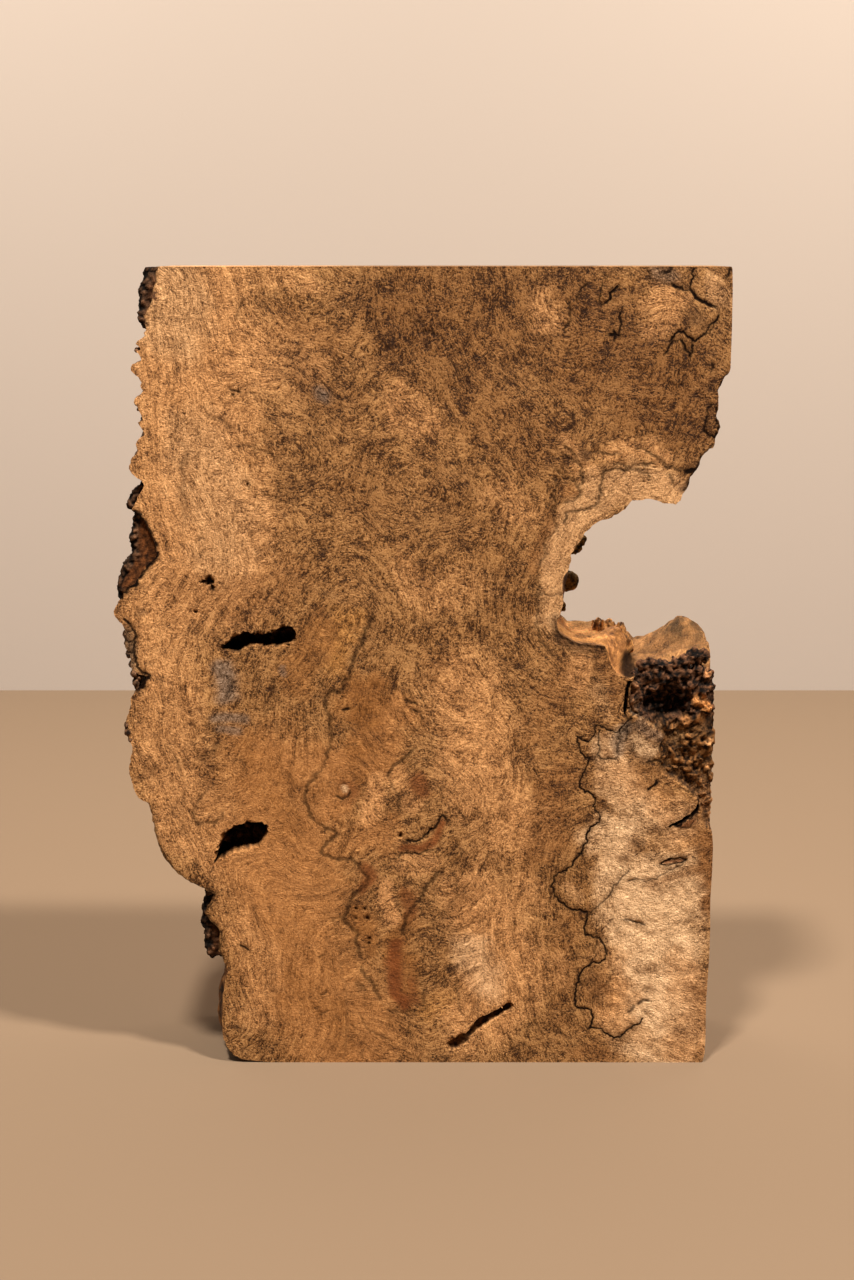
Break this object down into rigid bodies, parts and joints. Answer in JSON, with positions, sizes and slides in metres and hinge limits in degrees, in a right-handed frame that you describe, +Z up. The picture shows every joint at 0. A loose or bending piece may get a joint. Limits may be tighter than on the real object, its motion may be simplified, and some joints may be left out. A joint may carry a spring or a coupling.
{
  "type": "spalted maple board",
  "caption": "Thick upright slab of spalted maple burl with a ragged bark edge, a deep natural notch, open voids and flat sawn faces.",
  "frame": {"origin": "centre of the bounding box at the sawn bottom edge, which the board stands on", "axes": "+Z up the board, +X towards the sawn right edge with the notch, -Y out of the front face"},
  "size_m": [0.295, 0.06, 0.4],
  "materials": {
    "wood": "raw sawn maple, pale to brown, with black spalting lines",
    "bark": "rough dark bark"
  },
  "bodies": {
    "root": {"spalted_maple_board": "wood"}
  },
  "joints": []
}
